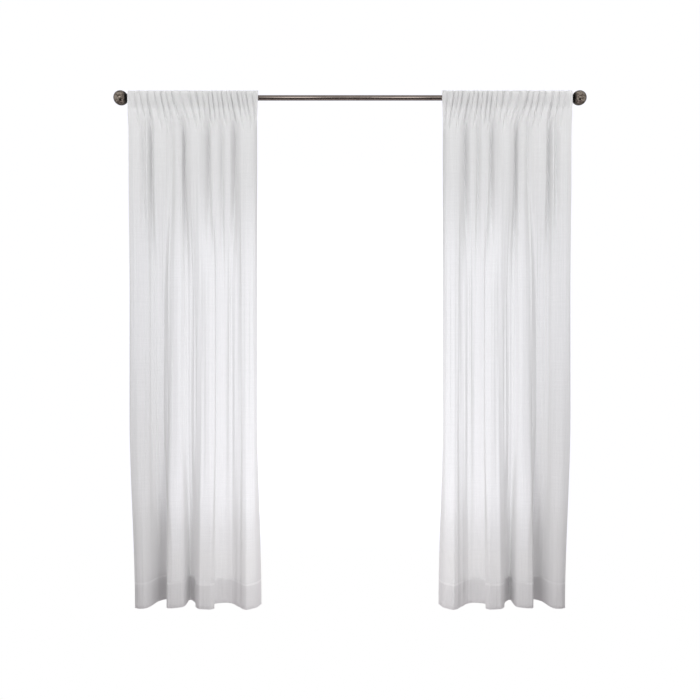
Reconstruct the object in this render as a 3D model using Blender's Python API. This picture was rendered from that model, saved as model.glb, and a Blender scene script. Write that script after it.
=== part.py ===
"""A pair of sheer voile rod-pocket curtain panels on a round metal rod with ball finials.

Metres. X runs along the rod, +Z is up and the viewer stands at -Y. The origin is the middle of the rod.
"""

import math

import bmesh
import bpy
import numpy as np

# Rod and finials
ROD_RADIUS = 0.0125
ROD_HALF = 0.9182
ROD_SIDES = 24
BALL_RADIUS = 0.030
BALL_CENTRE = 0.950
COLLAR_RADIUS = 0.0150
FIT_GAP = 0.0003
BALL_STEPS = 12
TURN_STEPS = 24

# Heights of one panel
HEADER_TOP = 0.0232
HEADER_SEAM = 0.0185
POCKET_UPPER = 0.0138
POCKET_LOWER = -0.012
POCKET_SEAM = -0.046
HEM_BOTTOM = -2.104
DROP_LEVELS = (-0.065, -0.09, -0.12, -0.16, -0.22, -0.40, -0.55, -0.70, -0.85, -1.30, -1.55, -1.8, HEM_BOTTOM)

# Cloth
CLOTH = 0.0012
POCKET_CLEAR = 0.0036
FORWARD = 0.019
SHARPEST_MITRE = 0.5
PANEL_OUTER = 0.9156
PANEL_INNER = 0.3780

# Heading gathers of the left panel in mm: where each crease starts along the rod, and its depth
GATHER_PARTS = 4
GATHER_FADE = 0.13
CREASE_SHARPNESS = 1.3
CREASES = (
    # x, depth
    (-889, 13),
    (-864, 9),
    (-838, 13),
    (-804, 12),
    (-779, 14),
    (-757, 9),
    (-734, 13),
    (-701, 11),
    (-663, 14),
    (-634, 13),
    (-609, 9),
    (-585, 13),
    (-568, 11),
    (-547, 9),
    (-529, 13),
    (-510, 9),
    (-493, 12),
    (-464, 14),
    (-448, 8),
    (-430, 13),
    (-404, 10),
)
SHALLOWEST_CREASE, DEEPEST_CREASE = 0.008, 0.014

# Main folds of the left panel in mm, from its outer edge to its inner one: where each crest, valley or
# slope lies along the rod (x), in the header and at three heights, and how far it stands towards the viewer
# (out). From the header the cloth drifts sideways into place by PLACED. The folds start at FOLDS_START, have
# grown in full at FOLDS_FULL, keep their upper places down to UPPER, reach the lower ones at LOWER and keep
# these down to FLARE, from where they spread towards the hem.
PLACED, FOLDS_START, FOLDS_FULL = -0.14, -0.02, -0.20
UPPER, LOWER, FLARE = -0.25, -0.85, -1.30
FOLDS = (
    # place, header x, upper x, upper out, lower x, lower out, hem x, hem out
    ("outer edge", -915.6, -914, 14, -908, 20, -883, 30),
    ("front A", -901, -898, 18, -892, 24, -870, 38),
    ("inner side of front A", -872, -867, 14, -868, 22, -850, 39),
    ("soft valley A", -859, -852, 0, -848, 12, -838, 36),
    ("small front", -847, -842, 12, -836, 8, -826, 18),
    ("valley A", -832, -823, -16, -820, -10, -816, -16),
    ("front B", -817, -809, 13, -805, -14, -806, -50),
    ("inner side of front B", -785, -776, 16, -784, -18, -778, -74),
    ("tuck behind C", -773, -763, 14, -775, -16, -752, -82),
    ("left face of C", -762, -750, 8, -767, -10, -758, -18),
    ("left side of front C", -750, -739, -1, -750, 5, -748, 32),
    ("front C", -735, -718, 15, -722, 19, -722, 34),
    ("right slope of C", -724, -702, 9, -694, 14, -691, 20),
    ("valley C", -711, -688, -18, -673, -1, -673, -64),
    ("left slope of D", -694, -673, 12, -658, 3, -659, -50),
    ("left face of D", -674, -651, 25, -644, 9, -644, -16),
    ("left edge of D", -653, -635, 27, -630, 17, -634, 22),
    ("front D", -628, -617, 25, -613, 25, -615, 43),
    ("middle of D", -605, -600, 10, -597, 30, -597, 48),
    ("right side of front D", -588, -587, -15, -576, 33, -578, 49),
    ("right edge of D", -570, -570, 12, -554, 24, -557, 38),
    ("fold back of D", -557, -555, 15, -556, 8, -574, -2),
    ("valley D", -546, -543, 13, -543, 1, -561, -20),
    ("soft valley D", -530, -531, -1, -530, -3, -541, -28),
    ("inner side of valley D", -519, -517, 12, -517, -3, -528, -30),
    ("valley middle", -507, -498, 14, -503, 2, -513, -30),
    ("valley E", -488, -477, -16, -484, 8, -488, -18),
    ("left slope of E", -472, -462, 15, -458, 17, -462, 14),
    ("front E", -436, -424, 28, -424, 31, -422, 51),
    ("right slope of E", -398, -395, 20, -399, 26, -391, 34),
    ("inner edge", -378, -384, 6, -383, 13, -369, -18),
)


def clear_scene():
    for thing in list(bpy.data.objects):
        bpy.data.objects.remove(thing)


def material(name, colour, roughness, metallic=0.0):
    made = bpy.data.materials.new(name)
    made.use_nodes = True
    shader = made.node_tree.nodes["Principled BSDF"]
    shader.inputs["Base Color"].default_value = (*colour, 1)
    shader.inputs["Roughness"].default_value = roughness
    shader.inputs["Metallic"].default_value = metallic
    made.diffuse_color = (*colour, 1)
    return made


def add_object(name, mesh, finish):
    mesh.materials.append(finish)
    made = bpy.data.objects.new(name, mesh)
    bpy.context.scene.collection.objects.link(made)
    return made


def smooth_step(t):
    t = np.clip(t, 0, 1)
    return t * t * (3 - 2 * t)


def smooth_curve(place, knots, values):
    """A smooth curve through values, spaced by knots, read at places such as 2.5, halfway from 2 to 3."""
    slopes = np.gradient(values, knots)
    i = np.clip(place.astype(int), 0, len(knots) - 2)
    span = knots[i + 1] - knots[i]
    t = place - i
    ahead, start = smooth_step(t), t * (1 - t) ** 2
    end = t * t * (t - 1)
    return values[i] * (1 - ahead) + values[i + 1] * ahead + span * (start * slopes[i] + end * slopes[i + 1])


def fold_places(share):
    """The fold table's sections in metres, the reach along each one, and the row that each share falls in."""
    sections = np.array([row[2:] for row in FOLDS]).reshape(len(FOLDS), 3, 2) / 1000
    steps = np.linalg.norm(np.diff(sections, axis=0), axis=2)
    reach = np.concatenate([np.zeros((1, 3)), np.cumsum(steps, axis=0)])
    even = reach.mean(1) / reach.mean(1)[-1]
    return sections, reach, np.interp(share, even, np.arange(len(FOLDS)))


def folded(share):
    """x and out in metres at shares of the cloth's width, for the upper, the lower and the hem section."""
    sections, reach, place = fold_places(share)
    return [[smooth_curve(place, reach[:, k], sections[:, k, side]) for side in range(2)] for k in range(3)]


def gathered(share):
    """Where the header's cloth lies along the rod."""
    return np.interp(fold_places(share)[2], np.arange(len(FOLDS)), [row[1] / 1000 for row in FOLDS])


def crease_count():
    """The creases' places along the rod, with the panel's two edges half a gather outside them."""
    places = [-PANEL_OUTER * 1000, *(x for x, _ in CREASES), -PANEL_INNER * 1000]
    return [0.5, *range(1, len(CREASES) + 1), len(CREASES) + 0.5], places


def column_shares():
    """Shares of the width at the crests, slopes and creases of the gathers, and between them."""
    counts, places = crease_count()
    columns = np.arange(0.5, counts[-1] + 0.01, 1 / GATHER_PARTS)
    x = np.interp(columns, counts, places) / 1000
    share = np.linspace(0, 1, 2001)
    return np.interp(x, gathered(share), share)


def gather_wave(share, z):
    """How far the gathers stand towards the viewer at a height: broad crests and narrower creases."""
    counts, places = crease_count()
    count = np.interp(gathered(share) * 1000, places, counts)
    depth = np.interp(count, counts[1:-1], [deep / 1000 for _, deep in CREASES])
    dip = ((1 + np.cos(2 * math.pi * count)) / 2) ** CREASE_SHARPNESS
    deep = (depth - SHALLOWEST_CREASE) / (DEEPEST_CREASE - SHALLOWEST_CREASE)
    fade = GATHER_FADE * (0.4 + 0.6 * deep)
    return depth * (0.5 - dip) * (1 - smooth_step((POCKET_SEAM - z) / fade))


def drape(share, z):
    """Where the cloth's middle lies at a height: x, y for each share of the width of the left panel."""
    (upper_x, upper_out), (lower_x, lower_out), (hem_x, hem_out) = folded(share)
    placed = smooth_step((HEADER_TOP - z) / (HEADER_TOP - PLACED))
    grown = smooth_step((FOLDS_START - z) / (FOLDS_START - FOLDS_FULL))
    fallen = smooth_step((UPPER - z) / (UPPER - LOWER))
    flared = smooth_step((FLARE - z) / (FLARE - HEM_BOTTOM))
    x = upper_x + (lower_x - upper_x) * fallen + (hem_x - lower_x) * flared
    out = upper_out + (lower_out - upper_out) * fallen + (hem_out - lower_out) * flared
    y = -out * grown - gather_wave(share, z) - FORWARD * (1 - grown)
    return gathered(share) * (1 - placed) + x * placed, y


def shifted(x, y, by):
    """The line x, y moved sideways, away from the viewer where by is positive, with mitred turns."""
    step = np.stack([np.diff(x), np.diff(y)])
    step /= np.hypot(*step)
    before = np.concatenate([step[:, :1], step], axis=1)
    after = np.concatenate([step, step[:, -1:]], axis=1)
    spread = np.maximum(1 + (before * after).sum(0), SHARPEST_MITRE)
    along = (before + after) / spread
    return x - along[1] * by, y + along[0] * by


def panel_rows():
    """The rows of points on the panel's front, its back and the two walls of its pocket, top to bottom."""
    share = column_shares()
    opening = ROD_RADIUS + POCKET_CLEAR + CLOTH / 2 + DEEPEST_CREASE / 2
    pocket_front, pocket_back = opening - FORWARD, opening + FORWARD
    outer_front, outer_back, inner_front, inner_back = [], [], [], []

    def row(z, opened, away):
        x, y = drape(share, z)
        x, y = shifted(x, y, away)
        return np.stack([x, y + opened, np.full_like(x, z)], axis=1)

    for z, opened, half in (
        (HEADER_TOP, 0, CLOTH),
        (HEADER_SEAM, 0, CLOTH),
        (POCKET_UPPER, 1, CLOTH / 2),
        (POCKET_LOWER, 1, CLOTH / 2),
        (POCKET_SEAM, 0, CLOTH),
        *((z, 0, CLOTH / 2) for z in DROP_LEVELS),
    ):
        outer_front.append(row(z, -opened * pocket_front, -half))
        outer_back.append(row(z, opened * pocket_back, half))
    top, bottom = row(HEADER_SEAM - CLOTH / 2, 0, 0), row(POCKET_SEAM + CLOTH, 0, 0)
    for z in (POCKET_UPPER - CLOTH, POCKET_LOWER + CLOTH / 2):
        inner_front.append(row(z, -pocket_front, CLOTH / 2))
        inner_back.append(row(z, pocket_back, -CLOTH / 2))
    return outer_front, outer_back, [top, *inner_front, bottom], [top, *inner_back, bottom]


def panel_mesh(name, side):
    """One cloth: a double header, a pocket that is open at both ends for the rod, and the drop to the hem."""
    outer_front, outer_back, inner_front, inner_back = panel_rows()
    work = bmesh.new()

    def grid(rows):
        return [[work.verts.new((side * -x, y, z)) for x, y, z in row] for row in rows]

    front, back, tunnel_front = grid(outer_front), grid(outer_back), grid(inner_front)
    tunnel_back = [tunnel_front[0], *grid(inner_back[1:-1]), tunnel_front[-1]]
    columns = range(len(front[0]) - 1)
    last = columns[-1] + 1

    def skin(rows, turned):
        for above, below in zip(rows, rows[1:]):
            for i in columns:
                # the same diagonal on both sides of the cloth keeps its thickness where it twists
                for corners in ((above[i], below[i], below[i + 1]), (above[i], below[i + 1], above[i + 1])):
                    work.faces.new(corners[::-1] if turned else corners)

    skin(front, False)
    skin(back, True)
    skin(tunnel_front, True)
    skin(tunnel_back, False)
    skin([back[0], front[0]], False)
    skin([front[-1], back[-1]], False)

    seam_top, seam_bottom = 1, 4
    for i, turned in ((0, False), (last, True)):
        ends = [(k, k + 1) for k in range(len(front) - 1) if not seam_top <= k < seam_bottom]
        faces = [(front[a][i], back[a][i], back[b][i], front[b][i]) for a, b in ends]
        for k, at in enumerate(range(seam_top, seam_bottom)):
            faces.append((front[at][i], tunnel_front[k][i], tunnel_front[k + 1][i], front[at + 1][i]))
            faces.append((tunnel_back[k][i], back[at][i], back[at + 1][i], tunnel_back[k + 1][i]))
        faces.append((front[seam_top][i], back[seam_top][i], tunnel_front[0][i]))
        faces.append((front[seam_bottom][i], tunnel_front[-1][i], back[seam_bottom][i]))
        for corners in faces:
            work.faces.new(corners[::-1] if turned else corners)

    if side > 0:
        bmesh.ops.reverse_faces(work, faces=work.faces)
    mesh = bpy.data.meshes.new(name)
    work.to_mesh(mesh)
    work.free()
    mesh.shade_smooth()
    mesh.set_sharp_from_angle(angle=math.radians(60))
    return mesh


def turned_mesh(name, profile, steps):
    """A solid turned about the X axis from (x, radius) points that start and end on the axis."""
    work = bmesh.new()
    points = [work.verts.new((x, 0, radius)) for x, radius in profile]
    line = [work.edges.new(pair) for pair in zip(points, points[1:])]
    bmesh.ops.spin(
        work,
        geom=points + line,
        cent=(0, 0, 0),
        axis=(1, 0, 0),
        angle=2 * math.pi,
        steps=steps,
        use_merge=True,
    )
    bmesh.ops.remove_doubles(work, verts=work.verts, dist=1e-6)
    bmesh.ops.recalc_face_normals(work, faces=work.faces)
    mesh = bpy.data.meshes.new(name)
    work.to_mesh(mesh)
    work.free()
    mesh.shade_smooth()
    mesh.set_sharp_from_angle(angle=math.radians(40))
    return mesh


def rod_profile():
    return [(-ROD_HALF, 0), (-ROD_HALF, ROD_RADIUS), (ROD_HALF, ROD_RADIUS), (ROD_HALF, 0)]


def finial_profile(side):
    """The collar's face at the rod's end, its round wall, and the ball from the collar to its far pole."""
    start = math.asin(COLLAR_RADIUS / BALL_RADIUS)
    face = ROD_HALF + FIT_GAP
    ball = [start + (math.pi - start) * k / BALL_STEPS for k in range(BALL_STEPS)]
    arc = [(BALL_CENTRE - BALL_RADIUS * math.cos(a), BALL_RADIUS * math.sin(a)) for a in ball]
    line = [(face, 0), (face, COLLAR_RADIUS), *arc, (BALL_CENTRE + BALL_RADIUS, 0)]
    return [(side * x, radius) for x, radius in line]


def build():
    clear_scene()
    voile = material("white voile", (0.86, 0.86, 0.87), 0.9)
    bronze = material("dark bronze", (0.11, 0.085, 0.07), 0.28, 0.9)
    for label, side in (("left", -1), ("right", 1)):
        panel = f"curtain_{label}"
        add_object(panel, panel_mesh(panel, side), voile)
        finial = f"finial_{label}"
        add_object(finial, turned_mesh(finial, finial_profile(side), TURN_STEPS), bronze)
    add_object("rod", turned_mesh("rod", rod_profile(), ROD_SIDES), bronze)


build()
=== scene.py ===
"""Looks for a pair of sheer voile rod-pocket panels on a bronze rod with ball finials.

Metres, in the row frame: X along the rod, +Z up, the viewer at -Y, the origin in the middle of the rod.
"""

import math

import bmesh
import bpy
import numpy as np
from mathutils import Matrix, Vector


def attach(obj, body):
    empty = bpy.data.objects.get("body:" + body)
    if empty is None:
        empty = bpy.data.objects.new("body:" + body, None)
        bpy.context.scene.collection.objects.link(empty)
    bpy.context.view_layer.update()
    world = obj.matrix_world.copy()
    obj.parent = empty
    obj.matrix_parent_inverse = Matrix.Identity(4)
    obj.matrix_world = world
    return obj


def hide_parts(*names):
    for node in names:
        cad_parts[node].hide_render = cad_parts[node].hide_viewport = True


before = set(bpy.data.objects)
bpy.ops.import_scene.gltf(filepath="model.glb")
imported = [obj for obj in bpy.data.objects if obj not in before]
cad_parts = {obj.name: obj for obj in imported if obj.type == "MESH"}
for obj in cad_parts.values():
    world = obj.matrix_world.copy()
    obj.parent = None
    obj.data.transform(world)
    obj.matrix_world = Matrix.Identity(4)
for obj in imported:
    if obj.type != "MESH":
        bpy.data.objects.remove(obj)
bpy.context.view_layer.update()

# Rod and finials
ROD_RADIUS = 0.0125
ROD_HALF = 0.9182
BALL_RADIUS = 0.030
BALL_CENTRE = 0.950
COLLAR_RADIUS = 0.0150
FIT_GAP = 0.0003

# Heights of one panel
HEADER_TOP = 0.0232
HEADER_SEAM = 0.0185
POCKET_UPPER = 0.0138
POCKET_LOWER = -0.012
POCKET_SEAM = -0.046
HEM_TOP = -1.999
HEM_BOTTOM = -2.104

# Cloth
LAYER_GAP = 0.0005
HEM_GAP = 0.0011
POCKET_CLEAR = 0.0034
BACK_SHORT = 0.008
DEEPEST_CREASE = 0.027
CREASE_SHARE = 0.38
FORWARD = 0.019
POCKET_FRONT = ROD_RADIUS + POCKET_CLEAR + DEEPEST_CREASE * CREASE_SHARE / 2 - FORWARD
POCKET_BACK = ROD_RADIUS + POCKET_CLEAR + DEEPEST_CREASE * CREASE_SHARE / 2 + FORWARD
PANEL_OUTER = 0.9156
PANEL_INNER = 0.3780
FLAT_WIDTH, FLAT_LENGTH = 1.016, 2.31
COLUMNS = 440
DROP_ROWS = 112
SHIRRED_ROWS = 36
WRINKLE_SEED, RIPPLE_SEED = 5, 11

# Stitches
STITCH_LENGTH, STITCH_GAP, STITCH_RADIUS = 0.0026, 0.0007, 0.00028

# Voile: the hem's edge is its height on the flat cloth, from the turned-up end
THREAD_PITCH = 0.00045
SHEERNESS = 0.31
HEADING_SHEERNESS = 0.04
HEM_SHEERNESS = 0.07
# painted shade: how much less see-through the outer lower part of each panel is made, so that it reads darker
OUTER_SHADE = 0.17
LIT_THROUGH = 0.20
HEM_EDGE = 0.211

# Room and camera
FLOOR_HEIGHT = -2.135
GROUND_GLOW = 1.0
MIDDLE_GLOW = 1.25
ROOM_LIGHT = 0.43
BACK_LIGHT = 0.10
REFLECTED_LIGHT = 0.68
LAMP_LIGHT = 2.6
CAMERA_DISTANCE = 3.0
CAMERA_HEIGHT = -1.0453
METRES_PER_PIXEL = 0.004146

# Heading gathers of the left panel in mm: where each crease starts along the rod, and its depth
GATHER_FADE = 0.13
GATHERS_HELD = -0.055
CREASE_LEAN = 0.10
SHIRRED_TO = -0.17
CREASE_SHARPNESS = 5.0
CREASES = (
    # x, depth
    (-889, 26),
    (-864, 17),
    (-838, 25),
    (-804, 23),
    (-779, 27),
    (-757, 18),
    (-734, 26),
    (-701, 22),
    (-663, 27),
    (-634, 25),
    (-609, 17),
    (-585, 26),
    (-568, 22),
    (-547, 17),
    (-529, 25),
    (-510, 17),
    (-493, 24),
    (-464, 27),
    (-448, 16),
    (-430, 26),
    (-404, 19),
)

# Main folds of the left panel in mm, from its outer edge to its inner one: where each crest, valley or
# slope lies along the rod (x), in the header and at three heights, and how far it stands towards the viewer
# (out). They keep their upper places down to UPPER, and their lower ones from LOWER to FLARE.
PLACED, FOLDS_START, FOLDS_FULL = -0.14, -0.02, -0.20
UPPER, LOWER, FLARE = -0.25, -0.85, -1.30
FOLDS = (
    # place, header x, upper x, upper out, lower x, lower out, hem x, hem out
    ("outer edge", -915.6, -914, 14, -908, 20, -883, 30),
    ("front A", -901, -898, 18, -892, 24, -870, 38),
    ("inner side of front A", -872, -867, 14, -868, 22, -850, 39),
    ("soft valley A", -859, -852, 0, -848, 12, -838, 36),
    ("small front", -847, -842, 12, -836, 8, -826, 18),
    ("valley A", -832, -823, -16, -820, -10, -816, -16),
    ("front B", -817, -809, 13, -805, -14, -806, -50),
    ("inner side of front B", -785, -776, 16, -784, -18, -778, -74),
    ("tuck behind C", -773, -763, 14, -775, -16, -752, -82),
    ("left face of C", -762, -750, 8, -767, -10, -758, -18),
    ("left side of front C", -750, -739, -1, -750, 5, -748, 32),
    ("front C", -735, -718, 15, -722, 19, -722, 34),
    ("right slope of C", -724, -702, 9, -694, 14, -691, 20),
    ("valley C", -711, -688, -18, -673, -1, -673, -64),
    ("left slope of D", -694, -673, 12, -658, 3, -659, -50),
    ("left face of D", -674, -651, 25, -644, 9, -644, -16),
    ("left edge of D", -653, -635, 27, -630, 17, -634, 22),
    ("front D", -628, -617, 25, -613, 25, -615, 43),
    ("middle of D", -605, -600, 10, -597, 30, -597, 48),
    ("right side of front D", -588, -587, -15, -576, 33, -578, 49),
    ("right edge of D", -570, -570, 12, -554, 24, -557, 38),
    ("fold back of D", -557, -555, 15, -556, 8, -574, -2),
    ("valley D", -546, -543, 13, -543, 1, -561, -20),
    ("soft valley D", -530, -531, -1, -530, -3, -541, -28),
    ("inner side of valley D", -519, -517, 12, -517, -3, -528, -30),
    ("valley middle", -507, -498, 14, -503, 2, -513, -30),
    ("valley E", -488, -477, -16, -484, 8, -488, -18),
    ("left slope of E", -472, -462, 15, -458, 17, -462, 14),
    ("front E", -436, -424, 28, -424, 31, -422, 51),
    ("right slope of E", -398, -395, 20, -399, 26, -391, 34),
    ("inner edge", -378, -384, 6, -383, 13, -369, -18),
)


# Modelling helpers


def smooth_step(t):
    t = np.clip(t, 0, 1)
    return t * t * (3 - 2 * t)


def smooth_curve(place, knots, values):
    """A smooth curve through values, spaced by knots, read at places such as 2.5, halfway from 2 to 3."""
    slopes = np.gradient(values, knots)
    i = np.clip(place.astype(int), 0, len(knots) - 2)
    span = knots[i + 1] - knots[i]
    t = place - i
    ahead, start = smooth_step(t), t * (1 - t) ** 2
    end = t * t * (t - 1)
    return values[i] * (1 - ahead) + values[i + 1] * ahead + span * (start * slopes[i] + end * slopes[i + 1])


def fold_places(share):
    """The fold table's sections in metres, the reach along each one, and the row that each share falls in."""
    sections = np.array([row[2:] for row in FOLDS]).reshape(len(FOLDS), 3, 2) / 1000
    steps = np.linalg.norm(np.diff(sections, axis=0), axis=2)
    reach = np.concatenate([np.zeros((1, 3)), np.cumsum(steps, axis=0)])
    even = reach.mean(1) / reach.mean(1)[-1]
    return sections, reach, np.interp(share, even, np.arange(len(FOLDS)))


def folded(share):
    """x and out in metres at shares of the cloth's width, for the upper, the lower and the hem section."""
    sections, reach, place = fold_places(share)
    return [[smooth_curve(place, reach[:, k], sections[:, k, side]) for side in range(2)] for k in range(3)]


def gathered(share):
    """Where the header's cloth lies along the rod."""
    return np.interp(fold_places(share)[2], np.arange(len(FOLDS)), [row[1] / 1000 for row in FOLDS])


def gather_wave(share, z):
    """How far the gathers stand towards the viewer: broad crests, narrow creases that lean as they fall."""
    places = [-PANEL_OUTER * 1000, *(x for x, _ in CREASES), -PANEL_INNER * 1000]
    counts = [0.5, *range(1, len(CREASES) + 1), len(CREASES) + 0.5]
    leaning = gathered(share) - CREASE_LEAN * (HEADER_TOP - max(z, SHIRRED_TO))
    count = np.interp(leaning * 1000, places, counts)
    depth = np.interp(count, counts[1:-1], [deep / 1000 for _, deep in CREASES])
    dip = ((1 + np.cos(2 * math.pi * count)) / 2) ** CREASE_SHARPNESS
    fade = GATHER_FADE * (0.35 + 0.65 * (depth - 0.015) / 0.012)
    kept = 1 - smooth_step((GATHERS_HELD - z) / fade)
    flat = 1 - 0.75 * smooth_step((z - POCKET_UPPER) / (HEADER_TOP - POCKET_UPPER))
    return depth * CREASE_SHARE * (0.5 - dip) * kept * flat


def wrinkle_table(seed):
    """Fine upright wrinkles between the gathers: pitch along the rod, height, start, lean and change down."""
    draw = np.random.default_rng(seed)
    rows = []
    for pitch in np.geomspace(0.0065, 0.019, 9):
        height = 0.00033 * (pitch / 0.010) ** 0.8
        rows.append((pitch, height, draw.uniform(0, 6.28), draw.normal(0.08, 0.14), draw.uniform(0, 6.28)))
    return rows


def heading_wrinkles(share, z, table):
    """Wrinkles of the shirred heading, which end where the folds begin."""
    total = np.zeros_like(share)
    along = gathered(share)
    for pitch, height, start, lean, change in table:
        wave = np.sin((along - lean * (HEADER_TOP - z)) / pitch * 2 * math.pi + start)
        total += height * wave * (0.55 + 0.45 * math.sin(change + z * 70))
    return total * float(smooth_step((z - SHIRRED_TO) / 0.09))


def ripple_table(seed):
    """Fine ripples of limp cloth: waves across the width with a slow drift down the drop."""
    draw = np.random.default_rng(seed)
    rows = []
    for wavelength in np.geomspace(0.014, 0.085, 16):
        height = 0.00017 * (wavelength / 0.014) ** 0.9
        rows.append((wavelength, height, draw.uniform(0, 6.28), draw.normal(0, 1.0), draw.uniform(0, 6.28)))
    return rows


def ripples(share, z, table):
    """The ripples' height at a height z of the drop, none in the heading."""
    total = np.zeros_like(share)
    for wavelength, height, phase, drift, swell in table:
        wave = np.sin(share * FLAT_WIDTH / wavelength * 2 * math.pi + phase + drift * 2.2 * z)
        total += height * wave * (0.6 + 0.4 * math.sin(swell + z * 4.1 + drift))
    return total * float(smooth_step((POCKET_LOWER - z) / 0.25))


def drape(share, z, waves):
    """Where the cloth lies at a height: x, y for each share of the width of the left panel."""
    ripple_rows, wrinkle_rows = waves
    (upper_x, upper_out), (lower_x, lower_out), (hem_x, hem_out) = folded(share)
    placed = smooth_step((HEADER_TOP - z) / (HEADER_TOP - PLACED))
    grown = smooth_step((FOLDS_START - z) / (FOLDS_START - FOLDS_FULL))
    fallen = smooth_step((UPPER - z) / (UPPER - LOWER))
    flared = smooth_step((FLARE - z) / (FLARE - HEM_BOTTOM))
    x = upper_x + (lower_x - upper_x) * fallen + (hem_x - lower_x) * flared
    out = upper_out + (lower_out - upper_out) * fallen + (hem_out - lower_out) * flared
    fine = ripples(share, z, ripple_rows) + heading_wrinkles(share, z, wrinkle_rows)
    y = -out * grown - gather_wave(share, z) - FORWARD * (1 - grown) + fine
    return gathered(share) * (1 - placed) + x * placed, y


def shifted(x, y, by):
    """The line x, y moved sideways, away from the viewer where by is positive, with mitred turns."""
    step = np.stack([np.diff(x), np.diff(y)])
    step /= np.hypot(*step)
    before = np.concatenate([step[:, :1], step], axis=1)
    after = np.concatenate([step, step[:, -1:]], axis=1)
    along = (before + after) / np.maximum(1 + (before * after).sum(0), 0.5)
    return x - along[1] * by, y + along[0] * by


def pocket_opening(z):
    """How far the pocket's front and back stand off its middle at a height, where the rod fills it."""
    above = smooth_step((HEADER_SEAM - z) / (HEADER_SEAM - POCKET_UPPER))
    below = smooth_step((z - POCKET_SEAM) / (POCKET_LOWER - POCKET_SEAM))
    return float(above * below)


def cloth_rows():
    """Height, sideways offset and pocket side of each row: the hem's turned-up back, the front to the
    header's top, and the heading's back down to the pocket's seam."""
    hem_back = [(z, HEM_GAP, 0) for z in np.linspace(HEM_TOP, HEM_BOTTOM + 0.0012, 12)]
    hem_edge = [(HEM_BOTTOM + 0.0003, HEM_GAP * 0.8, 0), (HEM_BOTTOM, HEM_GAP * 0.4, 0)]
    drop = [(z, 0, 0) for z in np.linspace(HEM_BOTTOM + 0.0004, SHIRRED_TO, DROP_ROWS)[:-1]]
    drop += [(z, 0, 0) for z in np.linspace(SHIRRED_TO, POCKET_SEAM - 0.004, SHIRRED_ROWS)]
    heights = [POCKET_SEAM, *np.linspace(POCKET_SEAM, POCKET_LOWER, 9)[1:], -0.004, 0.004]
    heights += [*np.linspace(POCKET_UPPER, HEADER_SEAM, 5)[:-1], HEADER_SEAM, 0.0198, 0.0211, 0.0224]
    front = [(z, -LAYER_GAP, -POCKET_FRONT) for z in heights]
    top = [(HEADER_TOP, 0, 0)]
    back = [(z, LAYER_GAP, POCKET_BACK) for z in heights[::-1]]
    return hem_back + hem_edge + drop + front + top + back


def sheet_mesh(name, side, waves):
    """One cloth as a single open sheet, with a UV map in metres of flat cloth."""
    share = np.linspace(0, 1, COLUMNS + 1)
    rows = cloth_rows()
    points = []
    for z, by, pocket in rows:
        x, y = drape(share, z, waves)
        x, y = shifted(x, y, by)
        if pocket > 0:
            x = x - BACK_SHORT * share * pocket_opening(z)
        points.append(np.stack([side * -x, y + pocket * pocket_opening(z), np.full_like(x, z)], axis=1))
    points = np.array(points)
    steps = np.linalg.norm(np.diff(points, axis=0), axis=2).mean(1)
    along = np.concatenate([[0], np.cumsum(steps)])
    wide = COLUMNS + 1
    corner = (np.arange(len(rows) - 1)[:, None] * wide + np.arange(COLUMNS)).ravel()
    faces = np.stack([corner, corner + 1, corner + wide + 1, corner + wide], axis=1)
    if side > 0:
        faces = faces[:, ::-1]
    mesh = bpy.data.meshes.new(name)
    mesh.from_pydata(points.reshape(-1, 3).tolist(), [], faces.tolist())
    flat = np.stack(np.meshgrid(share * FLAT_WIDTH, along), axis=2).reshape(-1, 2)
    layer = mesh.uv_layers.new(name="flat cloth")
    layer.data.foreach_set("uv", flat[faces.ravel()].ravel().astype(np.float32))
    mesh.shade_smooth()
    return mesh


def add_piece(name, mesh, finish):
    mesh.materials.append(finish)
    made = bpy.data.objects.new(name, mesh)
    bpy.context.scene.collection.objects.link(made)
    return made


# Sewing


def seam_mesh(name, side, waves, z, stand):
    """A row of short stitches that lie on the cloth at one height."""
    share = np.linspace(0.004, 0.996, int(FLAT_WIDTH / (STITCH_LENGTH + STITCH_GAP)) * 4 + 1)
    x, y = drape(share, z, waves)
    x, y = shifted(x, y, stand)
    points, faces = [], []
    for k in range(0, len(share) - 4, 4):
        line = []
        for j, rise in ((0, 0.2), (1, 0.9), (2, 1.0), (3, 0.2)):
            line.append((x[k + j], y[k + j], STITCH_RADIUS * rise))
        start = len(points)
        for px, py, r in line:
            for a in range(5):
                turn = 2 * math.pi * a / 5
                points.append((side * -px, py + r * math.cos(turn), z + r * math.sin(turn)))
        for ring in range(3):
            for a in range(5):
                b = (a + 1) % 5
                i = start + ring * 5
                quad = [i + a, i + b, i + 5 + b, i + 5 + a]
                faces.append(quad if side > 0 else quad[::-1])
        first = [start + a for a in range(5)]
        last = [start + 15 + a for a in range(5)]
        faces.append(first[::-1] if side > 0 else first)
        faces.append(last if side > 0 else last[::-1])
    mesh = bpy.data.meshes.new(name)
    mesh.from_pydata(points, [], faces)
    mesh.shade_smooth()
    return mesh


# Shader maths


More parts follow.
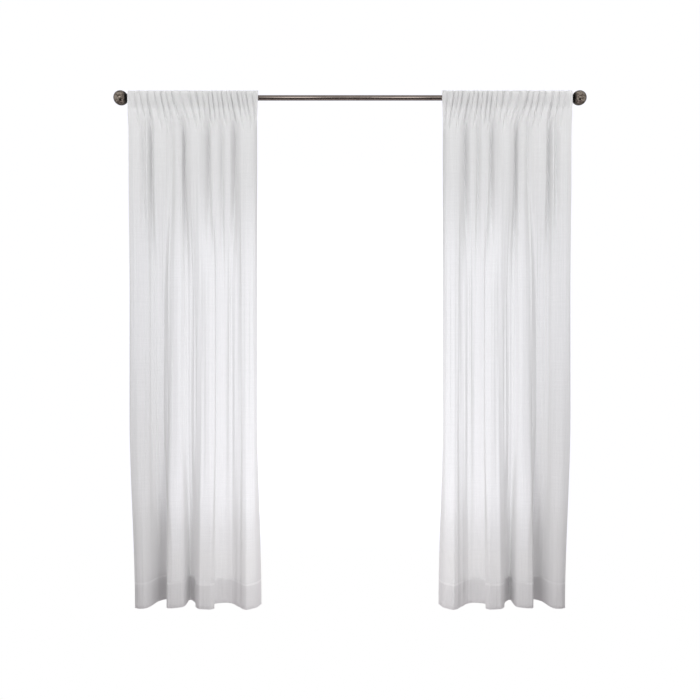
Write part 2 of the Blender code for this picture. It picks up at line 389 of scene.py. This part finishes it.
class Value:
    """One output of a node tree, so that shader maths reads as Python expressions."""

    def __init__(self, tree, socket):
        self.tree = tree
        self.socket = socket

    def node(self, kind, settings=(), **inputs):
        """Adds a node of any type, sets it up, then fills its inputs with numbers or with other values."""
        made = self.tree.nodes.new(kind)
        for name, setting in dict(settings).items():
            setattr(made, name, setting)
        for name, given in inputs.items():
            key = int(name[1:]) if name[1:].isdigit() else name.replace("_", " ")
            socket = made.inputs[key]
            if isinstance(given, Value):
                self.tree.links.new(given.socket, socket)
            else:
                socket.default_value = given
        return made

    def out(self, made, name=0):
        return Value(self.tree, made.outputs[name])

    def maths(self, operation, first, second=0.0):
        made = self.node("ShaderNodeMath", {"operation": operation}, _0=first, _1=second)
        return self.out(made)

    def __add__(self, other):
        return self.maths("ADD", self, other)

    def __radd__(self, other):
        return self.maths("ADD", other, self)

    def __sub__(self, other):
        return self.maths("SUBTRACT", self, other)

    def __rsub__(self, other):
        return self.maths("SUBTRACT", other, self)

    def __mul__(self, other):
        return self.maths("MULTIPLY", self, other)

    def __rmul__(self, other):
        return self.maths("MULTIPLY", other, self)

    def __truediv__(self, other):
        return self.maths("DIVIDE", self, other)

    def __rtruediv__(self, other):
        return self.maths("DIVIDE", other, self)

    def __pow__(self, other):
        return self.maths("POWER", self, other)

    def __rpow__(self, other):
        return self.maths("POWER", other, self)

    def sine(self):
        return self.maths("SINE", self)

    def at_least(self, other):
        return self.maths("MAXIMUM", self, other)

    def at_most(self, other):
        return self.maths("MINIMUM", self, other)


def new_material(name):
    made = bpy.data.materials.new(name)
    made.use_nodes = True
    made.node_tree.nodes.clear()
    return made, Value(made.node_tree, None)


def finish_material(tree, shader):
    output = tree.tree.nodes.new("ShaderNodeOutputMaterial")
    tree.tree.links.new(shader.outputs[0], output.inputs[0])


def ramp_between(tree, value, low, high):
    """0 below low and 1 above high, smooth between; low may be above high."""
    smooth = {"interpolation_type": "SMOOTHSTEP"}
    made = tree.node("ShaderNodeMapRange", smooth, Value=value, _1=low, _2=high, _3=0.0, _4=1.0)
    return tree.out(made)


def voile_material():
    made, tree = new_material("white sheer voile")
    flat = tree.node("ShaderNodeUVMap", {"uv_map": "flat cloth"})
    parts = tree.node("ShaderNodeSeparateXYZ", Vector=tree.out(flat))
    across, down = tree.out(parts, "X"), tree.out(parts, "Y")
    warp = (across * (2 * math.pi / THREAD_PITCH)).sine()
    weft = (down * (2 * math.pi / THREAD_PITCH)).sine()
    weave = warp * weft * 0.5
    stretched = tree.node("ShaderNodeMapping", Vector=tree.out(flat), Scale=(260.0, 9.0, 1.0))
    slubs = tree.node("ShaderNodeTexNoise", Vector=tree.out(stretched), Scale=1.0, Detail=3.0)
    crossed = tree.node("ShaderNodeMapping", Vector=tree.out(flat), Scale=(7.0, 320.0, 1.0))
    picks = tree.node("ShaderNodeTexNoise", Vector=tree.out(crossed), Scale=1.0, Detail=2.0)
    uneven = (tree.out(slubs) - 0.5) * 0.16 + (tree.out(picks) - 0.5) * 0.10
    drawn_up = ramp_between(tree, down, 1.45, 2.12) * (SHEERNESS - HEADING_SHEERNESS)
    heavy = ramp_between(tree, down, 0.62, 0.24) * (SHEERNESS - HEM_SHEERNESS)
    # painted shade: the outer lower part of each panel is made less see-through, so that it reads darker
    # there
    outer_shading = ramp_between(tree, across, 0.36, 0.14) * ramp_between(tree, down, 1.35, 0.65) * OUTER_SHADE
    cover = (uneven + weave * 0.10 + drawn_up + heavy + outer_shading + (1 - SHEERNESS)).at_most(0.98)
    sway = tree.node("ShaderNodeMapping", Vector=tree.out(flat), Scale=(6.0, 0.0, 1.0))
    sag = tree.node("ShaderNodeTexNoise", Vector=tree.out(sway), Scale=1.0, Detail=2.0)
    height = down + (tree.out(sag) - 0.5) * 0.008
    hem = ramp_between(tree, height, HEM_EDGE + 0.001, HEM_EDGE - 0.001)
    # partly painted highlight: the turned-in top of the hem is painted brighter, partly for its extra layer
    # of cloth and partly as painted light catching it, strongest in stretches where the sag noise is high
    lit_stretches = ramp_between(tree, tree.out(sag), 0.36, 0.60)
    turned = hem * ramp_between(tree, height, HEM_EDGE - 0.010, HEM_EDGE - 0.007) * lit_stretches
    white = hem * 0.04 + turned * 0.13 + 0.82
    colour = tree.node("ShaderNodeCombineColor", Red=white, Green=white, Blue=white * 1.004)
    facing = tree.node("ShaderNodeLayerWeight", Blend=0.5)
    slant = (1 - tree.out(facing, "Facing")).at_least(0.5)
    density = 1 - (1 - cover) ** (1 / slant)
    bump = tree.node("ShaderNodeBump", Strength=0.25, Distance=0.00012, Height=warp * 0.5 + weft * 0.5)
    front = tree.node(
        "ShaderNodeBsdfPrincipled",
        Base_Color=tree.out(colour),
        Roughness=0.85,
        Specular_IOR_Level=0.2,
        Sheen_Weight=0.15,
        Sheen_Roughness=0.4,
        Normal=tree.out(bump),
    )
    through = tree.node("ShaderNodeBsdfTranslucent", Color=(0.88, 0.88, 0.882, 1))
    cloth = tree.node("ShaderNodeMixShader", _0=LIT_THROUGH, _1=tree.out(front), _2=tree.out(through))
    clear = tree.node("ShaderNodeBsdfTransparent")
    voile = tree.node("ShaderNodeMixShader", _0=density, _1=tree.out(clear), _2=tree.out(cloth))
    finish_material(tree, voile)
    return made


def thread_material():
    made, tree = new_material("white sewing thread")
    place = tree.node("ShaderNodeTexCoord")
    twist = tree.node("ShaderNodeTexNoise", Vector=tree.out(place, "Object"), Scale=900.0, Detail=2.0)
    shade = tree.out(twist) * 0.16 + 0.78
    colour = tree.node("ShaderNodeCombineColor", Red=shade, Green=shade, Blue=shade * 1.01)
    cloth = tree.node("ShaderNodeBsdfPrincipled", Base_Color=tree.out(colour), Roughness=0.55)
    finish_material(tree, cloth)
    return made


def bronze_material(name, dark, light, cloud_scale, cloud_height, roughness, neck_shade):
    """Glossy oil-rubbed bronze, clouded from dark to light, with painted shade on a finial's collar and on
    the side of the ball beside it.
    """
    made, tree = new_material(name)
    place = tree.node("ShaderNodeTexCoord")
    spot = tree.out(place, "Object")
    clouds = tree.node("ShaderNodeTexNoise", Vector=spot, Scale=cloud_scale, Detail=3.0, Roughness=0.55)
    patch = tree.out(clouds)
    ramp = tree.node("ShaderNodeValToRGB", Fac=patch)
    ramp.color_ramp.elements[0].position = 0.38
    ramp.color_ramp.elements[0].color = (*dark, 1)
    ramp.color_ramp.elements[1].position = 0.62
    ramp.color_ramp.elements[1].color = (*light, 1)
    parts = tree.node("ShaderNodeSeparateXYZ", Vector=spot)
    out = tree.out(parts, "X").maths("ABSOLUTE", tree.out(parts, "X"))
    # painted shade: the collar and the side of the ball next to it are darkened to near black, as if in
    # shadow
    collar_shade = ramp_between(tree, out, BALL_CENTRE - 0.012, BALL_CENTRE - 0.024) * neck_shade
    shadow_colour = (0.012, 0.010, 0.009, 1)
    shaded_base = tree.node("ShaderNodeMix", {"data_type": "RGBA"}, _0=collar_shade, _6=tree.out(ramp), _7=shadow_colour)
    bump = tree.node("ShaderNodeBump", Strength=1.0, Distance=cloud_height, Height=patch)
    coat = tree.node(
        "ShaderNodeBsdfPrincipled",
        Base_Color=tree.out(shaded_base, 2),
        Metallic=1.0,
        Roughness=patch * 0.10 + roughness,
        Coat_Weight=0.3,
        Coat_Roughness=0.10,
        Normal=tree.out(bump),
    )
    finish_material(tree, coat)
    return made


# Rod and finials


def open_edit():
    bpy.ops.object.mode_set(mode="EDIT")
    bpy.ops.mesh.select_mode(type="FACE")
    bpy.ops.mesh.select_all(action="DESELECT")
    return bmesh.from_edit_mesh(bpy.context.object.data)


def close_edit():
    bpy.ops.object.mode_set(mode="OBJECT")


def start_piece():
    if bpy.context.object and bpy.context.object.mode != "OBJECT":
        bpy.ops.object.mode_set(mode="OBJECT")
    bpy.ops.object.select_all(action="DESELECT")


def settle(name, finish):
    """Names the piece just modelled and leaves its place in its mesh."""
    made = bpy.context.object
    bpy.ops.object.transform_apply(location=True, rotation=True, scale=True)
    made.name = name
    made.data.name = name
    made.data.materials.clear()
    made.data.materials.append(finish)
    return made


def rod_piece(finish):
    start_piece()
    bpy.ops.mesh.primitive_cylinder_add(
        vertices=64,
        radius=ROD_RADIUS,
        depth=2 * ROD_HALF,
        rotation=(0, math.pi / 2, 0),
        end_fill_type="NGON",
    )
    bpy.ops.object.transform_apply(location=True, rotation=True, scale=True)
    work = open_edit()
    for face in work.faces:
        face.select_set(abs(face.normal.x) > 0.9)
    work.select_flush(True)
    bmesh.update_edit_mesh(bpy.context.object.data)
    bpy.ops.mesh.inset(thickness=0.0011, depth=0)
    bpy.ops.mesh.inset(thickness=0.0008, depth=-0.0018)
    bpy.ops.mesh.select_all(action="DESELECT")
    work = bmesh.from_edit_mesh(bpy.context.object.data)
    for edge in work.edges:
        ends = [v.co for v in edge.verts]
        rim = all(abs(abs(p.x) - ROD_HALF) < 1e-6 and math.hypot(p.y, p.z) > ROD_RADIUS - 1e-5 for p in ends)
        edge.select_set(rim)
    bmesh.update_edit_mesh(bpy.context.object.data)
    bpy.ops.mesh.bevel(offset=0.0006, segments=3, affect="EDGES")
    close_edit()
    bpy.ops.object.shade_smooth_by_angle(angle=math.radians(35))
    return settle("curtain_rod", finish)


def finial_piece(name, side, finish):
    """A turned ball with a groove, a rounded collar and the end face that meets the rod."""
    start_piece()
    bpy.ops.mesh.primitive_uv_sphere_add(
        segments=64, ring_count=40, radius=BALL_RADIUS, rotation=(0, math.pi / 2, 0)
    )
    bpy.ops.object.transform_apply(location=True, rotation=True, scale=True)
    bpy.ops.transform.translate(value=(BALL_CENTRE, 0, 0))
    bpy.ops.object.transform_apply(location=True, rotation=True, scale=True)
    neck = 0.0128
    cut = BALL_CENTRE - math.sqrt(BALL_RADIUS**2 - neck**2)
    open_edit()
    bpy.ops.mesh.select_all(action="SELECT")
    bpy.ops.mesh.bisect(plane_co=(cut, 0, 0), plane_no=(1, 0, 0), use_fill=False, clear_inner=True)
    bpy.ops.mesh.select_mode(type="EDGE")
    bpy.ops.mesh.select_all(action="DESELECT")
    face = ROD_HALF + FIT_GAP
    profile = (
        # x, radius
        (cut - 0.0005, 0.0112),
        (cut - 0.0014, 0.0110),
        (cut - 0.0019, 0.0132),
        (cut - 0.0024, 0.0145),
        (cut - 0.0032, COLLAR_RADIUS),
        (face + 0.0012, COLLAR_RADIUS),
        (face + 0.0003, 0.0146),
        (face, 0.0138),
    )
    work = bmesh.from_edit_mesh(bpy.context.object.data)
    for edge in work.edges:
        edge.select_set(all(abs(v.co.x - cut) < 1e-6 for v in edge.verts))
    bmesh.update_edit_mesh(bpy.context.object.data)
    here_x, here_radius = cut, neck
    for x, radius in profile:
        bpy.ops.mesh.extrude_edges_move(TRANSFORM_OT_translate={"value": (x - here_x, 0, 0)})
        grow = radius / here_radius
        bpy.ops.transform.resize(value=(1, grow, grow), center_override=(x, 0, 0))
        here_x, here_radius = x, radius
    bpy.ops.mesh.edge_face_add()
    close_edit()
    bpy.ops.object.shade_smooth_by_angle(angle=math.radians(32))
    if side < 0:
        bpy.ops.object.mode_set(mode="EDIT")
        bpy.ops.mesh.select_all(action="SELECT")
        bpy.ops.transform.resize(value=(-1, 1, 1), center_override=(0, 0, 0))
        bpy.ops.mesh.normals_make_consistent(inside=False)
        close_edit()
    return settle(name, finish)


# Stage, light and camera


def stage_plane(name, place, size, finish):
    start_piece()
    bpy.ops.mesh.primitive_plane_add(size=1, location=place)
    made = bpy.context.object
    made.scale = (*size, 1)
    bpy.ops.object.transform_apply(location=True, rotation=True, scale=True)
    made.name = name
    made.data.materials.append(finish)


def floor_material():
    """A pale floor that the camera sees as white, and that reflects as plain paint."""
    made, tree = new_material("white floor")
    glow = tree.node("ShaderNodeEmission", Strength=GROUND_GLOW)
    paint = tree.node("ShaderNodeBsdfDiffuse", Color=(0.66, 0.61, 0.635, 1))
    seen = tree.node("ShaderNodeLightPath")
    by_camera = tree.out(seen, "Is Camera Ray")
    mixed = tree.node("ShaderNodeMixShader", _0=by_camera, _1=tree.out(paint), _2=tree.out(glow))
    finish_material(tree, mixed)
    return made


def set_world():
    """Even room light, a white ground that glows most behind the middle of the panels, and what shines back
    from the bronze: two lamps and a dark band below them in front, a dim room behind, light elsewhere."""
    world = bpy.data.worlds.new("studio")
    world.use_nodes = True
    world.node_tree.nodes.clear()
    tree = Value(world.node_tree, None)
    place = tree.node("ShaderNodeTexCoord")
    parts = tree.node("ShaderNodeSeparateXYZ", Vector=tree.out(place, "Generated"))
    aside, behind, up = tree.out(parts, "X"), tree.out(parts, "Y"), tree.out(parts, "Z")
    room = ramp_between(tree, behind, -0.1, 0.4) * BACK_LIGHT - up * 0.08 + ROOM_LIGHT
    light = tree.node("ShaderNodeBackground", Color=(1.0, 1.0, 1.0, 1), Strength=room)
    depth = behind.at_least(0.05)
    level, sideways = up / depth, aside.maths("ABSOLUTE", aside) / depth
    lit = ramp_between(tree, level, 0.26, 0.10) * ramp_between(tree, level, -0.275, -0.20)
    lit = lit * ramp_between(tree, sideways, 0.285, 0.225)
    glow = lit * (MIDDLE_GLOW - GROUND_GLOW) + GROUND_GLOW
    white = tree.node("ShaderNodeBackground", Color=(1, 1, 1.06, 1), Strength=glow)
    off_axis = aside.maths("ABSOLUTE", aside)
    before = ramp_between(tree, behind, 0.2, -0.2)
    dark_band = ramp_between(tree, up, -0.24, -0.38) * ramp_between(tree, up, -1.0, -0.90)
    dark_band = dark_band * before * ramp_between(tree, off_axis, 0.30, 0.16)
    lamp = ramp_between(tree, up, -0.26, -0.16) * ramp_between(tree, up, 0.26, 0.16)
    lamp = lamp * ramp_between(tree, off_axis, 0.025, 0.06) * ramp_between(tree, off_axis, 0.105, 0.085)
    lamp = lamp * before
    far_side = ramp_between(tree, behind, -0.15, 0.55)
    shine = (1 - dark_band * 0.96) * (1 - far_side * 0.6) * REFLECTED_LIGHT + lamp * LAMP_LIGHT
    reflected = tree.node("ShaderNodeBackground", Color=(1.0, 0.985, 0.97, 1), Strength=shine)
    seen = tree.node("ShaderNodeLightPath")
    by_bronze, by_camera = tree.out(seen, "Is Glossy Ray"), tree.out(seen, "Is Camera Ray")
    unseen = tree.node("ShaderNodeMixShader", _0=by_bronze, _1=tree.out(light), _2=tree.out(reflected))
    mixed = tree.node("ShaderNodeMixShader", _0=by_camera, _1=tree.out(unseen), _2=tree.out(white))
    output = world.node_tree.nodes.new("ShaderNodeOutputWorld")
    world.node_tree.links.new(mixed.outputs[0], output.inputs[0])
    bpy.context.scene.world = world


def area_light(name, place, aim, size, watts):
    """A soft light that neither the camera nor the bronze sees."""
    light = bpy.data.lights.new(name, "AREA")
    light.shape = "RECTANGLE"
    light.size, light.size_y = size
    light.energy = watts
    lamp = bpy.data.objects.new(name, light)
    bpy.context.scene.collection.objects.link(lamp)
    lamp.location = place
    lamp.rotation_euler = (Vector(aim) - Vector(place)).to_track_quat("-Z", "Y").to_euler()
    lamp.visible_camera = lamp.visible_glossy = False


def set_camera():
    lens = bpy.data.cameras.new("camera")
    lens.sensor_width = 36
    lens.lens = 36 * CAMERA_DISTANCE / (700 * METRES_PER_PIXEL)
    camera = bpy.data.objects.new("camera", lens)
    bpy.context.scene.collection.objects.link(camera)
    camera.location = (0, -CAMERA_DISTANCE, CAMERA_HEIGHT)
    camera.rotation_euler = (math.pi / 2, 0, 0)
    bpy.context.scene.camera = camera


# Assembly

voile = voile_material()
thread = thread_material()
rod_bronze = bronze_material(
    "rod bronze",
    dark=(0.25, 0.21, 0.19),
    light=(0.30, 0.255, 0.23),
    cloud_scale=14.0,
    cloud_height=0.0,
    roughness=0.04,
    neck_shade=0.0,
)
ball_bronze = bronze_material(
    "clouded bronze",
    dark=(0.09, 0.070, 0.055),
    light=(0.42, 0.36, 0.31),
    cloud_scale=150.0,
    cloud_height=0.0006,
    roughness=0.12,
    neck_shade=1.0,
)

rod = rod_piece(rod_bronze)
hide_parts("rod")
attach(rod, "root")

for label, side in (("left", -1), ("right", 1)):
    finial = finial_piece(f"ball_finial_{label}", side, ball_bronze)
    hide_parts(f"finial_{label}")
    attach(finial, "root")

    waves = ripple_table(RIPPLE_SEED), wrinkle_table(WRINKLE_SEED)
    panel = add_piece(f"voile_panel_{label}", sheet_mesh(f"voile_panel_{label}", side, waves), voile)
    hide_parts(f"curtain_{label}")
    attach(panel, "root")
    for seam, z, stand in (
        ("header", HEADER_SEAM, -0.0007),
        ("pocket", POCKET_SEAM, -0.0007),
        ("hem", HEM_TOP - 0.002, -0.0003),
    ):
        name = f"{seam}_stitches_{label}"
        row = add_piece(name, seam_mesh(name, side, waves, z, stand), thread)
        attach(row, "root")

stage_plane("floor", (0, -0.2, FLOOR_HEIGHT), (6, 2.2), floor_material())
set_world()
area_light("overhead", (0, -1.2, 1.1), (0, 0, -0.1), (2.4, 0.7), 1)
area_light("inner light", (0, -0.95, -1.5), (0, 0, -1.5), (0.4, 0.9), 5.2)
for aside in (-1, 1):
    area_light("outer light", (aside * 1.3, -1.3, 0.9), (aside * 0.65, 0, -0.2), (1.0, 0.8), 18)
    area_light("low back light", (aside * 0.45, 0.5, -1.9), (aside * 0.45, 0, -1.9), (0.5, 0.3), 1.2)
set_camera()
bpy.context.scene.view_settings.view_transform = "Standard"
